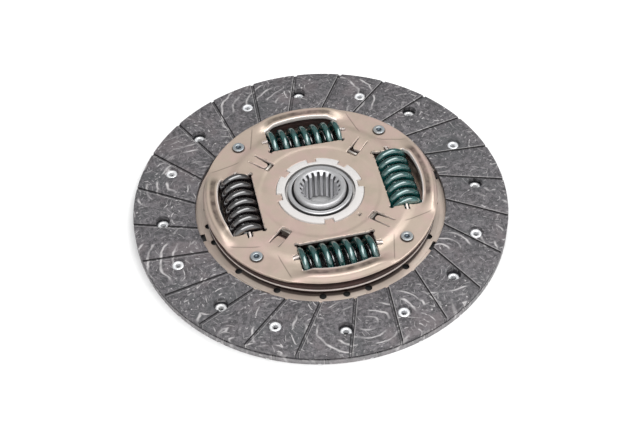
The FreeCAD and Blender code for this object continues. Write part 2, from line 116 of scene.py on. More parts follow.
class ClutchDiscPlateSizes(bpy.types.PropertyGroup):
    """Sizes of the two pressed cover plates."""

    sheet: length("Thickness of the cover plates' steel", 2.0)
    sheet_start: length("Radius at which the blank sheet starts", 17.0)
    ring_step: length("Distance between the sheet's rings of faces", 0.9)
    spokes: count("Faces round the sheet", 360)
    hub_zone: length("Radius of the level zone round the bush", 33.5)
    hub_slope: length("Width of the step round the hub zone", 1.5)
    hub_drop: length("Height of the step round the hub zone", 0.4)
    spring_zone: length("Radius of the raised zone between the springs", 49.5)
    dish_width: length("Width of the slope down to the rim", 6.1)
    dish_rise: length("Height of the spring zone over the rim", 1.2)
    rim_gap: length("Distance between the two plates at their rims", 8.6)
    edge: length("Rounding of the sheet's cut edges", 0.35)
    window_inner: length("Distance of a window's inner side from the axis", 36.3)
    window_half: length("Half the length of a damper window", 21.7)
    window_outer: length("Radius of a window's outer side", 58.3)
    relief: length("Radius of the relief in a window's inner corners", 1.3)
    relief_inset: length("Inset of the relief's centre from the corner", 0.4)
    notch_place: length("Distance of the end notches from the axis", 45.0)
    notch_depth: length("Depth of the end notches", 3.3)
    notch_half: length("Half the width of a pair of end notches", 1.5)
    finger_half: length("Half the width of the finger between them", 0.6)
    finger_lift: length("How far the finger's tip is bent up", 0.7)
    ridge_height: length("Height of the ridge outside a window", 3.6)
    lip_height: length("Height of the sheet at a window's outer lip", 3.1)
    ridge_full: angle("Half angle over which a ridge has its full height", 15)
    ridge_end: angle("Half angle at which a ridge ends", 28.5)
    crest_gap: length("Distance from the lip to the ridge's crest", 5.8)
    ridge_slope: length("Width of the ridge's outer slope", 2.8)
    lower_crest_gap: length("The lower plate's distance from lip to crest", 1.9)
    lower_ridge_slope: length("Width of the lower plate's ridge slope", 2.0)
    slot_start: length("Distance of a slot's inner end from the axis", 33.5)
    slot_half: length("Half the width of a slot between the windows", 3.3)
    slot_corner: length("Radius of a slot's inner corners", 1.0)
    tongue_root: length("Distance of a tongue's root from the axis", 47.5)
    tongue_tip: length("Distance of a tongue's tip from the axis", 39.4)
    tongue_half: length("Half the width of a tongue", 2.7)
    tongue_drop: length("How far a tongue's tip is bent down", 1.8)
    long_tip: length("Distance of a long tongue's tip from the axis", 36.9)
    long_half: length("Half the width of a long tongue at its tip", 1.9)
    long_drop: length("How far a long tongue's tip is bent down", 0.9)
    bore: length("Radius of the retaining plate's centre hole", 25.3)
    lug_radius: length("Radius that the lugs in the centre hole reach", 22.3)
    lug_angle: angle("Width of a lug", 11.9)
    lower_bore: length("Radius of the lower plate's centre hole", 20.0)
    pilot: length("Radius of the small hole in the hub zone", 1.0)
    pilot_circle: length("Distance of the small hole from the axis", 28.6)
    pilot_angle: angle("Place of the small hole", 307.9)


class ClutchDiscSpringSizes(bpy.types.PropertyGroup):
    """Sizes of the damper springs."""

    outer: length("Outer radius of the damper springs", 10.4)
    heavy_wire: length("Wire of the left and right springs", 4.4)
    light_wire: length("Wire of the front and rear springs", 3.6)
    turns: level("Turns of a damper spring", 6.7)
    inner_outer: length("Outer radius of the inner springs", 5.9)
    inner_wire: length("Wire of the inner springs", 2.2)
    inner_turns: level("Turns of an inner spring", 10.3)
    ground_share: level("Part of a turn that is ground off at each end", 0.5)
    steps: count("Faces along a turn", 40)
    sides: count("Faces round the wire", 18)
    keep: level("Length left when the damper is turned to its stop", 0.59)


class ClutchDiscFacingSizes(bpy.types.PropertyGroup):
    """Sizes of the friction facings."""

    outer: length("Outer radius of the facings", 107.5)
    inner: length("Radius of the facings' bore", 72.0)
    stack: length("Height over both facings", 8.5)
    groove_half: length("Half the width of a groove", 0.9)
    groove_offset: length("Distance of a groove's line from the axis", 25.0)
    groove_lead: angle("Turn of the first groove", -2.6)
    grooves: count("Grooves in a facing", 24)


class ClutchDiscSmallSizes(bpy.types.PropertyGroup):
    """Sizes of rivets, pins and softened edges."""

    rivet_head: length("Radius of a facing rivet's rolled head", 3.3)
    rivet_bore: length("Radius of a facing rivet's hole", 1.5)
    rivet_shank: length("Radius of a facing rivet's shank", 2.2)
    rivet_roll: length("Height of a rolled head", 0.8)
    rivet_circle: length("Distance of the facing rivets from the axis", 90.9)
    rivets: count("Facing rivets on each side", 8)
    upper_lead: angle("Angle of the first upper rivet", 17)
    lower_lead: angle("Angle of the first lower rivet", 41)
    facing_edge: length("Rounding of the facings' edges", 0.18)
    sheet_edge: length("Rounding of thin sheet edges", 0.12)
    steel_edge: length("Rounding of turned steel edges", 0.2)
    bush_edge: length("Rounding of moulded edges", 0.35)
    pin_edge: length("Rounding of the stop pins' heads", 0.35)
    pin_head: length("Radius of a stop pin's head", 3.4)
    pin_neck: length("Radius of a stop pin's neck", 3.0)
    pin_body: length("Radius of a stop pin between the plates", 4.0)
    pin_rivet: length("Height of a stop pin's head", 1.4)
    pin_dimple: length("Radius of the dimple in a head", 1.6)
    dimple_depth: length("Depth of the dimple in a head", 1.1)
    pin_circle: length("Distance of the stop pins from the axis", 59.3)
    pin_lead: angle("Angle of the first stop pin", 41.5)
    boss: length("Radius of the hub's boss", 14.95)
    spline: length("Radius to the roots of the spline", 11.5)
    bush_bore: length("Radius of the upper bush's bore", 20.0)
    window_relief: length("Added room inside the springs in the flange's windows", 2.4)


class ClutchDiscColours(bpy.types.PropertyGroup):
    """Colours of the finishes."""

    facing: colour("Ground friction material", 0.150, 0.141, 0.150)
    facing_dark: colour("Resin between the fibres", 0.058, 0.056, 0.060)
    fibre: colour("Pale fibres in the friction material", 0.60, 0.58, 0.58)
    rivet: colour("Bright rolled metal", 0.96, 0.96, 0.96)
    plate: colour("Cover plates", 0.58, 0.47, 0.39)
    plate_pink: colour("Pinkish cast on the cover plates", 0.62, 0.46, 0.41)
    plate_dull: colour("Dull patches on the cover plates", 0.46, 0.40, 0.31)
    cushion: colour("Spring steel sheet", 0.60, 0.51, 0.44)
    pin: colour("Zinc on the stop pins", 0.52, 0.54, 0.54)
    hub: colour("Turned steel", 0.74, 0.74, 0.75)
    # Very dark brown for the hub flange, which shows only in the shade between the plates; its darkness is
    # partly painted shade
    flange: colour("Hardened steel of the hub flange", 0.070, 0.045, 0.040)
    bush: colour("Moulded plastic", 0.62, 0.60, 0.585)
    washer: colour("Friction compound", 0.10, 0.09, 0.085)
    thrust: colour("Thin satin sheet", 0.72, 0.68, 0.63)
    teal: colour("Paint on three springs", 0.004, 0.068, 0.064)
    black: colour("Paint on one spring", 0.007, 0.005, 0.006)
    # Painted shade: dark brown laid at the plates' rim edges, along the ridges and creases, beside the lower
    # plate's rim and on the stop pins' sides
    brown_shade: colour("Dark cut edges of rims, flange and pins", 0.036, 0.020, 0.018)
    # Painted highlight: pale colour laid on the cut edges, the window lips, the fingers and the flange's edge
    # where light catches them
    highlight_tone: colour("Edges rubbed bright", 0.90, 0.82, 0.78)
    # Painted highlight: pale colour for the streaks of light on the spline's flanks
    bore: colour("Drawn flanks of the spline", 0.93, 0.93, 0.96)
    # Painted shade: dark blue-grey for the hollow of the stop pins' dimples
    dimple: colour("Dimples of the stop pins", 0.07, 0.09, 0.11)
    # Painted shade: near black for the cushion disc in the shaded gap between the facings
    paddle_shade: colour("Cushion disc between the facings", 0.03, 0.03, 0.035)
    recess: colour("Shade in grooves and round pins", 0.010, 0.009, 0.010)
    floor: colour("Pale floor", 0.93, 0.93, 0.93)


class ClutchDiscStage(bpy.types.PropertyGroup):
    """Camera and lamps."""

    eye: point("Place of the camera", -0.10142, -0.50298, 0.58580)
    target: point("Point the camera looks at", -0.002164, -0.008469, 0.0085)
    roll: angle("Turn of the camera about its line of sight", -1.612)
    lens: level("Focal length in millimetres on a 36 mm sensor", 75.517)
    horizon: level("Level of the light from the horizon", 0.16)
    zenith: level("Level of the light from above", 0.34)
    front: level("Added level of the light from the front", 0.85)
    softbox: level("Power of the wide softbox overhead, in watts", 11.6)
    floor_size: length("Width of the floor", 4000)


def settings():
    return bpy.context.scene.clutch_disc


# Selection and editing

def pick(*chosen):
    """Select only these pieces, the first one active."""
    bpy.ops.object.select_all(action="DESELECT")
    for piece in chosen:
        piece.select_set(True)
    bpy.context.view_layer.objects.active = chosen[0]


@contextlib.contextmanager
def editing(piece):
    """Edit mode on one piece, with all of it selected at first."""
    pick(piece)
    bpy.ops.object.mode_set(mode="EDIT")
    bpy.ops.mesh.select_mode(type="VERT")
    bpy.ops.mesh.select_all(action="SELECT")
    yield
    bpy.ops.object.mode_set(mode="OBJECT")


def select_where(piece, test):
    """In edit mode, select the vertices whose places pass the test."""
    mesh = bmesh.from_edit_mesh(piece.data)
    for vertex in mesh.verts:
        vertex.select_set(test(vertex.co))
    mesh.select_flush_mode()
    bmesh.update_edit_mesh(piece.data)


def apply_modifier(piece, kind, **values):
    modifier = piece.modifiers.new(kind, kind)
    for key, value in values.items():
        setattr(modifier, key, value)
    pick(piece)
    bpy.ops.object.modifier_apply(modifier=modifier.name)


def soften(piece, width, segments=2, limit=SMOOTH_LIMIT):
    """Round the edges that turn by more than the limit and shade the rest smooth."""
    apply_modifier(
        piece, "BEVEL", width=width, segments=segments, limit_method="ANGLE",
        angle_limit=math.radians(limit), use_clamp_overlap=False, miter_outer="MITER_ARC",
    )
    smooth(piece, limit)


def smooth(piece, limit=SMOOTH_LIMIT):
    pick(piece)
    bpy.ops.object.shade_smooth_by_angle(angle=math.radians(limit))


def face_outwards(weld=False):
    """In edit mode, turn all faces outwards, after a weld where one is asked for."""
    bpy.ops.mesh.select_all(action="SELECT")
    if weld:
        bpy.ops.mesh.remove_doubles(threshold=SMALL)
    bpy.ops.mesh.normals_make_consistent(inside=False)


def started(name, primitive, **values):
    """New piece from one of Blender's mesh primitives."""
    bpy.ops.object.select_all(action="DESELECT")
    primitive(**values)
    piece = bpy.context.object
    piece.name = name
    return piece


def placed(name, data):
    """New object in the scene for a mesh, a lamp or a camera."""
    holder = bpy.data.objects.new(name, data)
    bpy.context.scene.collection.objects.link(holder)
    return holder


def outline(name, points, closed):
    """Line through the points, drawn by extruding one vertex."""
    piece = started(name, bpy.ops.mesh.primitive_plane_add, size=MM)
    places = [Vector(point) for point in points]
    with editing(piece):
        bpy.ops.mesh.merge(type="CENTER")
        bpy.ops.transform.translate(value=places[0])
        for near, far in zip(places, places[1:]):
            bpy.ops.mesh.extrude_vertices_move(TRANSFORM_OT_translate={"value": far - near})
        if closed:
            ends = (places[0], places[-1])
            select_where(piece, lambda co: min((co - end).length for end in ends) < SMALL)
            bpy.ops.mesh.edge_face_add()
    return piece


def lathe(name, profile, steps=48, closed=True):
    """Solid of (radius, height) points turned about the Z axis."""
    piece = outline(name, [(r, 0, z) for r, z in profile], closed)
    with editing(piece):
        bpy.ops.mesh.spin(steps=steps, angle=FULL_TURN, center=(0, 0, 0), axis=(0, 0, 1))
        face_outwards(weld=True)
    return piece


def prism(name, points, low, high):
    """Upright block of the given outline."""
    piece = outline(name, [(x, y, low) for x, y in points], True)
    with editing(piece):
        bpy.ops.mesh.edge_face_add()
        bpy.ops.mesh.extrude_region_move(TRANSFORM_OT_translate={"value": (0, 0, high - low)})
        face_outwards()
    return piece


def shift(piece, matrix):
    piece.data.transform(matrix)
    piece.data.update()


def turned(piece, turn, name):
    """Copy of a piece with its own mesh, turned about the hub axis."""
    twin = piece.copy()
    twin.data = piece.data.copy()
    twin.name = name
    bpy.context.scene.collection.objects.link(twin)
    shift(twin, Matrix.Rotation(turn, 4, "Z"))
    return twin


def join(pieces):
    pick(*pieces)
    bpy.ops.object.join()
    return bpy.context.object


def repeated(piece, number, lead=0.0):
    """The piece and its copies evenly spaced round the hub axis, as one piece."""
    shift(piece, Matrix.Rotation(lead, 4, "Z"))
    twins = [turned(piece, FULL_TURN * i / number, piece.name) for i in range(1, number)]
    return join([piece] + twins)


def drop(piece):
    """Delete a tool piece."""
    bpy.data.objects.remove(piece, do_unlink=True)


def middle(node):
    low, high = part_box(node)
    return (low + high) / 2


def polar(radius, turn):
    return (radius * math.cos(turn), radius * math.sin(turn))


def arc(radius, start, end, steps, centre=(0.0, 0.0)):
    """Points of an arc from one angle to another."""
    turns = [start + (end - start) * i / steps for i in range(steps + 1)]
    return [(centre[0] + radius * math.cos(t), centre[1] + radius * math.sin(t)) for t in turns]


def ease(t):
    """Smooth step from 0 to 1."""
    t = max(0.0, min(1.0, t))
    return t * t * (3 - 2 * t)


# Node graphs

class Graph:
    """A node tree, with a call for each thing that its nodes work out."""

    def __init__(self, tree):
        self.tree = tree
        self.base = None

    def node(self, kind, inputs=None, **values):
        """New node with its settings, its input values and its links."""
        made = self.tree.nodes.new("ShaderNode" + kind)
        for key, value in values.items():
            setattr(made, key, value)
        for key, value in (inputs or {}).items():
            if isinstance(value, bpy.types.NodeSocket):
                self.tree.links.new(value, made.inputs[key])
            else:
                made.inputs[key].default_value = value
        return made

    @functools.cached_property
    def place(self):
        return self.node("TexCoord").outputs["Object"]

    @functools.cached_property
    def axes(self):
        return self.node("SeparateXYZ", {0: self.place}).outputs

    @functools.cached_property
    def height(self):
        return self.axes[2]

    @functools.cached_property
    def bearing(self):
        """Angle round the hub axis."""
        return self.maths("ARCTAN2", self.axes[1], self.axes[0])

    @functools.cached_property
    def radius(self):
        """Distance from the hub axis."""
        flat = self.node("CombineXYZ", {0: self.axes[0], 1: self.axes[1]}).outputs[0]
        return self.node("VectorMath", {0: flat}, operation="LENGTH").outputs["Value"]

    @functools.cached_property
    def upright(self):
        """One on upright faces and nought on level ones."""
        normal = self.node("NewGeometry").outputs["Normal"]
        rise = self.node("SeparateXYZ", {0: normal}).outputs[2]
        return self.between(self.maths("ABSOLUTE", rise), 0.80, 0.40)

    def mapped(self, scale=(1, 1, 1), offset=(0, 0, 0)):
        """The object's coordinates, scaled and moved."""
        values = {"Vector": self.place, "Scale": scale, "Location": offset}
        return self.node("Mapping", values).outputs["Vector"]

    def noise(self, size, detail=3.0, roughness=0.55, vector=None):
        """Noise whose patches are about the given size."""
        values = {"Vector": vector or self.place, "Scale": 1 / size, "Detail": detail, "Roughness": roughness}
        return self.node("TexNoise", values).outputs[0]

    def streaks(self, value, scale, detail):
        """Noise along one value only."""
        inputs = {"W": value, "Scale": scale, "Detail": detail}
        return self.node("TexNoise", inputs, noise_dimensions="1D").outputs[0]

    def between(self, value, low, high):
        """The value as a share of the way from low to high, eased and held within 0 and 1."""
        inputs = {"Value": value, "From Min": low, "From Max": high}
        return self.node("MapRange", inputs, interpolation_type="SMOOTHSTEP").outputs["Result"]

    def spread(self, value, low, high, start, end):
        """The value moved from one span to another."""
        inputs = {"Value": value, "From Min": low, "From Max": high, "To Min": start, "To Max": end}
        return self.node("MapRange", inputs).outputs["Result"]

    def maths(self, operation, *terms):
        return self.node("Math", dict(enumerate(terms)), operation=operation).outputs[0]

    def minus(self, first, second):
        return self.maths("SUBTRACT", first, second)

    def apart(self, first, second):
        """Distance between two values."""
        return self.maths("ABSOLUTE", self.minus(first, second))

    def times(self, first, *others):
        for other in others:
            first = self.maths("MULTIPLY", first, other)
        return first

    def blend(self, share, first, second):
        """Mix of two colours, given as colours or sockets."""
        sockets = bpy.types.NodeSocket
        first, second = (part if isinstance(part, sockets) else (*part, 1) for part in (first, second))
        return self.node("Mix", {0: share, 6: first, 7: second}, data_type="RGBA").outputs[2]

    def layer(self, share, shade, strength=None):
        """Cover the base colour with another one by its share."""
        if strength is not None:
            share = self.times(share, strength)
        self.base = self.blend(share, self.base, shade)

    def bump(self, height, strength, distance, normal=None):
        inputs = {"Height": height, "Strength": strength, "Distance": distance}
        if normal:
            inputs["Normal"] = normal
        return self.node("Bump", inputs).outputs["Normal"]

    def surface(self, rough, relief, others=None):
        """Principled surface in the base colour, joined to the material's output."""
        inputs = {"Base Color": self.base, "Roughness": rough, "Normal": relief, **(others or {})}
        shader = self.node("BsdfPrincipled", inputs)
        self.node("OutputMaterial", {"Surface": shader.outputs[0]})


def new_material(name):
    material = bpy.data.materials.new(name)
    material.use_nodes = True
    material.node_tree.nodes.clear()
    return material, Graph(material.node_tree)


def scaled(tone, *factors):
    """The colour multiplied by one factor, or each of its parts by its own."""
    if len(factors) == 1:
        factors *= 3
    return tuple(part * factor for part, factor in zip(tone, factors))


# Finishes

def strokes(g, cell, spacing, piece_length, offset, scale=(1, 1, 1), wobble_size=12 * MM, wobble=2.4):
    """Broken pale arcs round scattered centres."""
    place = g.mapped(scale, offset)
    cells = {"Vector": place, "Scale": 1 / cell}
    far = g.node("TexVoronoi", cells, voronoi_dimensions="2D").outputs["Distance"]
    bent = g.times(g.noise(wobble_size, 2.0, vector=place), wobble)
    phase = g.maths("MULTIPLY_ADD", far, 2 * cell / spacing, bent)
    lines = g.between(g.maths("PINGPONG", phase, 1.0), 0.70, 0.96)
    broken = g.between(g.noise(piece_length, 1.0, vector=place), 0.50, 0.60)
    return g.times(lines, broken)


def across_groove(g):
    """Distance from the nearest groove's line, on either face of the disc."""
    sizes = settings().facings
    side = g.maths("SIGN", g.minus(g.height, sizes.stack / 2))
    slant = g.maths("ARCSINE", g.maths("DIVIDE", sizes.groove_offset, g.radius))
    own = g.minus(g.minus(g.times(g.bearing, side), slant), sizes.groove_lead)
    half_step = FULL_TURN / sizes.grooves / 2
    off = g.maths("WRAP", own, half_step, -half_step)
    return g.times(off, g.radius, g.maths("COSINE", slant))


def groove_shade(g, across, floor_level=0.18, side_level=0.92):
    """Dark lines along both sides of a groove's floor."""
    sizes = settings().facings
    middle_z = sizes.stack / 2
    half = sizes.groove_half
    distance = g.maths("ABSOLUTE", across)
    inside = g.between(distance, half + 0.12 * MM, half + 0.04 * MM)
    sunk = g.between(g.minus(middle_z, g.apart(g.height, middle_z)), 0.10 * MM, 0.25 * MM)
    beside = g.between(distance, half - 0.62 * MM, half - 0.30 * MM)
    return g.times(inside, sunk, g.spread(beside, 0, 1, floor_level, side_level))


def facing_finish():
    """Ground friction material: mottled grey with curved pale fibres and grains."""
    colours = settings().colours
    sizes = settings().facings
    material, g = new_material("friction_material")
    long_ones = strokes(g, 70 * MM, 4.8 * MM, 15 * MM, (3 * MM, 0, 0), (0.7, 1, 1))
    short_ones = strokes(g, 30 * MM, 3.4 * MM, 4.2 * MM, (70 * MM, 90 * MM, 0))
    fine_ones = strokes(g, 18 * MM, 2.3 * MM, 2.6 * MM, (20 * MM, 140 * MM, 0))
    region = g.between(g.noise(26 * MM, 1.0), 0.42, 0.52)
    fibres = g.node("Mix", {0: region, 2: short_ones, 3: long_ones}, data_type="FLOAT").outputs[0]
    fibres = g.maths("MAXIMUM", fibres, g.times(fine_ones, 0.45))
    fibres = g.times(fibres, g.spread(g.noise(8 * MM, 2.0), 0.34, 0.60, 0.25, 1.0))
    mottle = g.noise(1.9 * MM, 5.0, 0.72)
    cloud = g.noise(18 * MM, 2.0)
    g.base = g.blend(g.between(mottle, 0.38, 0.62), colours.facing_dark, colours.facing)
    g.layer(g.between(cloud, 0.50, 0.72), scaled(colours.facing, 1.10, 1.00, 0.98), 0.55)
    g.layer(g.between(cloud, 0.48, 0.30), scaled(colours.facing_dark, 1.30, 1.42, 1.38), 0.55)
    g.layer(fibres, colours.fibre, 0.85)
    g.layer(g.between(g.noise(2.1 * MM, 1.0), 0.70, 0.77), colours.fibre, 0.7)
    across = across_groove(g)
    # Painted highlight: a pale line beside each groove's edge
    lit = g.apart(across, sizes.groove_half + 0.25 * MM)
    g.layer(g.between(lit, 0.28 * MM, 0.10 * MM), colours.fibre, 0.35)
    g.layer(groove_shade(g, across), colours.recess)
    # Painted light: a paler band at the outer rim of the lower facing
    rim = g.between(g.radius, sizes.outer - 0.35 * MM, sizes.outer - 0.10 * MM)
    lower = g.between(g.height, sizes.stack / 2, sizes.stack / 2 - 0.3 * MM)
    g.layer(g.times(rim, lower), colours.fibre, 0.25)
    relief = g.bump(g.noise(0.8 * MM, 4.0, 0.7), 0.45, 0.25 * MM)
    relief = g.bump(fibres, 0.4, 0.2 * MM, relief)
    g.surface(g.spread(mottle, 0.3, 0.7, 0.80, 0.58), relief)
    return material


def sheet_finish(name, tone, tint, dull, metal, rough_low, rough_high, *layers):
    """Satin sheet with a faint tint, dull patches, a fine grain and layers of (share, colour)."""
    material, g = new_material(name)
    cloud = g.noise(14 * MM, 3.0, 0.6)
    patch = g.noise(22 * MM, 4.0, 0.6, g.mapped(offset=(50 * MM, 20 * MM, 0)))
    grain = g.noise(0.7 * MM, 3.0, 0.7)
    g.base = g.blend(g.between(cloud, 0.40, 0.66), tone, tint)
    g.layer(g.between(patch, 0.50, 0.72), dull, 0.6)
    g.layer(g.spread(grain, 0.3, 0.7, 0.0, 0.22), dull)
    for share, shade in layers:
        g.layer(share(g), shade)
    rough = g.spread(g.noise(5 * MM, 4.0, 0.65), 0.3, 0.7, rough_low, rough_high)
    g.surface(rough, g.bump(grain, 0.16, 0.08 * MM), {"Metallic": metal})
    return material


def rim_shade(g, start=4.5 * MM, strip_height=3.1 * MM):
    """Share of the painted shade on a cover plate's rim edge, under a bright strip on the upper plate."""
    beyond = settings().plates.window_outer + start
    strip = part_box("hub_flange")[1].z + strip_height
    low = g.between(g.height, strip + 0.2 * MM, strip)
    return g.times(g.upright, low, g.between(g.radius, beyond, beyond + 0.5 * MM))


def window_edge_highlight(g, margin=1.0 * MM, strength=0.6):
    """Share of the painted highlight on the cut edge round the windows and slots."""
    within = settings().plates.window_outer + margin
    return g.times(g.upright, g.between(g.radius, within, within - 0.3 * MM), strength)


def window_place(g):
    """Distances along and across the middle line of the nearest window."""
    first, second = (g.maths("ABSOLUTE", g.axes[i]) for i in range(2))
    return g.maths("MAXIMUM", first, second), g.maths("MINIMUM", first, second)


def lip_highlight(g, strength=0.85):
    """Share of the painted highlight along the outer lip of a window."""
    sizes = settings().plates
    lip = sizes.window_outer
    inside = g.between(g.radius, lip - 0.9 * MM, lip - 0.5 * MM)
    outside = g.between(g.radius, lip + 0.8 * MM, lip + 0.5 * MM)
    ends = g.between(window_place(g)[1], sizes.window_half + 0.4 * MM, sizes.window_half)
    return g.times(inside, outside, ends, strength)


def ridge_shade_bands(g, wide_strength=0.85, fine_strength=0.25, fine_lines=(6.6 * MM, 8.3 * MM)):
    """Share of the painted shade along the ridges: a wide band inside the crest and fine lines outside it."""
    sizes = settings().plates
    beyond = g.minus(g.radius, sizes.window_outer)
    wide = g.between(beyond, 1.2 * MM, 2.0 * MM)
    bands = g.times(wide, g.between(beyond, 5.4 * MM, 3.6 * MM), wide_strength)
    for line in fine_lines:
        fine = g.between(g.apart(beyond, line), 0.6 * MM, 0.1 * MM)
        bands = g.maths("MULTIPLY_ADD", fine, fine_strength, bands)
    ends = g.between(window_place(g)[1], sizes.window_half + 3 * MM, sizes.window_half - 5 * MM)
    return g.times(bands, ends, g.spread(g.noise(5 * MM, 2.0), 0.35, 0.65, 0.55, 1.0))


def crease_shade(g, slant=0.244, offset=42.8 * MM, strength=0.45):
    """Share of the painted shade along faint creases beside the ends of the ridges."""
    along, across = window_place(g)
    off = g.apart(g.maths("MULTIPLY_ADD", along, slant, across), offset)
    span = g.times(g.between(along, 40 * MM, 43 * MM), g.between(along, 59 * MM, 56 * MM))
    return g.times(g.between(off, 0.55 * MM, 0.1 * MM), span, strength)


def finger_highlight(g, strength=0.9):
    """Share of the painted highlight on the fingers at the ends of the windows."""
    sizes = settings().plates
    along, across = window_place(g)
    off = g.apart(along, sizes.notch_place)
    wide = g.between(off, sizes.finger_half + 0.1 * MM, sizes.finger_half)
    end = sizes.window_half + sizes.notch_depth
    root = g.between(across, sizes.window_half - 1 * MM, sizes.window_half)
    return g.times(wide, root, g.between(across, end + 0.4 * MM, end), strength)


def flange_highlight(g, below=2.6 * MM):
    """Share of the painted highlight along the flange's edge."""
    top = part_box("hub_flange")[1]
    rim = g.between(g.radius, top.x - 0.9 * MM, top.x - 0.7 * MM)
    return g.times(g.between(g.apart(g.height, top.z - below), 0.75 * MM, 0.5 * MM), rim)


def pin_distance(g):
    """Distance from the middle of the nearest stop pin."""
    sizes = settings().small
    off = g.maths("WRAP", g.minus(g.bearing, sizes.pin_lead), math.pi / 4, -math.pi / 4)
    along = g.minus(g.times(g.radius, g.maths("COSINE", off)), sizes.pin_circle)
    across = g.times(g.radius, g.maths("SINE", off))
    return g.maths("SQRT", g.maths("ADD", g.times(along, along), g.times(across, across)))


def pin_contact_shade(g, strength=0.75):
    """Share of the painted shade in a ring round the stop pins on a cover plate."""
    head = settings().small.pin_head
    return g.times(g.between(pin_distance(g), head + 0.9 * MM, head + 0.1 * MM), strength)


def under_rim(g, strength=0.85):
    """Share of the shade on the cushion disc beside the lower plate's rim."""
    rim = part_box("disc_plate")[1].x
    return g.times(g.between(g.radius, rim + 2.2 * MM, rim + 1.2 * MM), strength)


def paddle_shade_share(g):
    """Share of the cushion disc that lies between the facings, where it is painted dark for the shade in the
    gap.
    """
    inner = settings().facings.inner
    return g.between(g.radius, inner, inner + 0.5 * MM)


def dimple_shade_share(g):
    """Share of the painted shade in the stop pins' dimples."""
    dimple = settings().small.pin_dimple
    return g.between(pin_distance(g), dimple, dimple - 0.2 * MM)


def pin_shade(g, strength=0.9):
    """Share of the dark sides of the stop pins."""
    low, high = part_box("stop_pins")
    half = (high.z - low.z) / 2
    off = g.apart(g.height, (low.z + high.z) / 2)
    return g.times(g.between(off, half - 0.25 * MM, half - 0.55 * MM), strength)


def gap_shade(g, strength=0.88):
    """Share of the painted shade down in the gaps round the boss."""
    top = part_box("centering_sleeve")[1].z
    boss = settings().small.boss
    deep = g.between(g.height, top - 0.3 * MM, top - 1.0 * MM)
    return g.times(deep, g.between(g.radius, boss - 0.4 * MM, boss), strength)


def spline_roots(g, deep_strength=0.45, top_strength=0.88):
    """Share of the painted shade in the roots between the teeth of the spline, stronger near the top."""
    spline = settings().small.spline
    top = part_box("hub")[1].z
    inside = g.between(g.radius, spline + 0.35 * MM, spline + 0.15 * MM)
    roots = g.between(g.radius, spline - 1.3 * MM, spline - 0.5 * MM)
    depth = g.spread(g.height, top - 9 * MM, top - 1 * MM, deep_strength, top_strength)
    return g.times(g.upright, inside, roots, depth)


def spline_highlights(g, frequency=26.0):
    """Share of the painted highlights on the spline's flanks, in upright streaks."""
    spline = settings().small.spline
    share = g.spread(g.streaks(g.bearing, frequency, 2.0), 0.40, 0.60, 0.25, 1.0)
    return g.times(share, g.between(g.radius, spline + 0.4 * MM, spline + 0.1 * MM))


def turned_finish(name, tone, rough, *layers, metal=0.70, mark_gap=0.35 * MM):
    """Turned steel: rings round the hub axis, light stains, a soft grain and layers of (share, colour)."""
    material, g = new_material(name)
    rings = g.streaks(g.maths("DIVIDE", g.radius, mark_gap), 1.0, 3.0)
    cloud = g.noise(5 * MM, 4.0, 0.65)
    darker = scaled(tone, 0.55)
    g.base = g.blend(g.spread(cloud, 0.35, 0.7, 0.0, 0.55), tone, darker)
    g.layer(g.spread(rings, 0.35, 0.65, 0.0, 0.40), darker)
    for share, shade in layers:
        g.layer(share(g), shade)
    blur = g.spread(cloud, 0.3, 0.7, rough, rough + 0.14)
    g.surface(blur, g.bump(rings, 0.22, 0.06 * MM), {"Metallic": metal})
    return material


def paint_finish(name, tone, metal, gloss):
    """Glossy paint on wire, thin and slightly uneven."""
    material, g = new_material(name)
    brighter = tuple(min(1.0, part * 1.7 + 0.004) for part in tone)
    g.base = g.blend(g.between(g.noise(3 * MM, 3.0, 0.6), 0.40, 0.66), tone, brighter)
    rough = g.spread(g.noise(1.2 * MM, 3.0), 0.3, 0.7, 0.16, 0.30)
    relief = g.bump(g.noise(1.6 * MM, 2.0), 0.12, 0.1 * MM)
    coat = {"Metallic": metal, "Coat Weight": 1.0, "Coat Roughness": 0.05, "Coat IOR": gloss}
    g.surface(rough, relief, coat)
    return material


def bush_finish(wall_shade=0.65):
    """Near-white moulded plastic with faint grey scuffs and a shaded bore."""
    tone = settings().colours.bush
    bore = settings().small.bush_bore
    material, g = new_material("moulded_plastic")
    scuffs = g.between(g.noise(2.4 * MM, 5.0, 0.7), 0.56, 0.72)
    g.base = g.blend(g.times(scuffs, 0.5), tone, scaled(tone, 0.80))
    wall = g.between(g.radius, bore + 0.5 * MM, bore + 0.2 * MM)
    g.layer(g.times(g.upright, wall), settings().colours.recess, wall_shade)
    rough = g.spread(g.noise(1.5 * MM, 3.0), 0.3, 0.7, 0.40, 0.55)
    g.surface(rough, g.bump(g.noise(0.5 * MM, 2.0), 0.08, 0.05 * MM))
    return material


def finished(piece, body, slot, material, *nodes):
    """Give a piece its material, the body it rides on and the CAD nodes it stands for."""
    piece.data.materials.clear()
    piece.data.materials.append(material)
    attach(piece, body)
    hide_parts(*nodes)
    return piece


def dressed(cad_node, name, edge):
    """Welded copy of a CAD node with softened edges."""
    piece = placed(name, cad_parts[cad_node].data.copy())
    with editing(piece):
        bpy.ops.mesh.customdata_custom_splitnormals_clear()
        bpy.ops.mesh.remove_doubles(threshold=SMALL)
        bpy.ops.mesh.dissolve_limited(angle_limit=math.radians(0.5))
        bpy.ops.mesh.quads_convert_to_tris()
    soften(piece, edge)
    return piece


def dress(body, slot, material, edge, **names):
    """Finish the CAD nodes that keep their shape, each under its new name."""
    for cad_node, name in names.items():
        finished(dressed(cad_node, name, edge), body, slot, material, cad_node)


# Pieces

class ClutchDiscOperator(bpy.types.Operator):
    """Shared settings of the operators that make the pieces."""

    bl_options = {"REGISTER", "UNDO"}


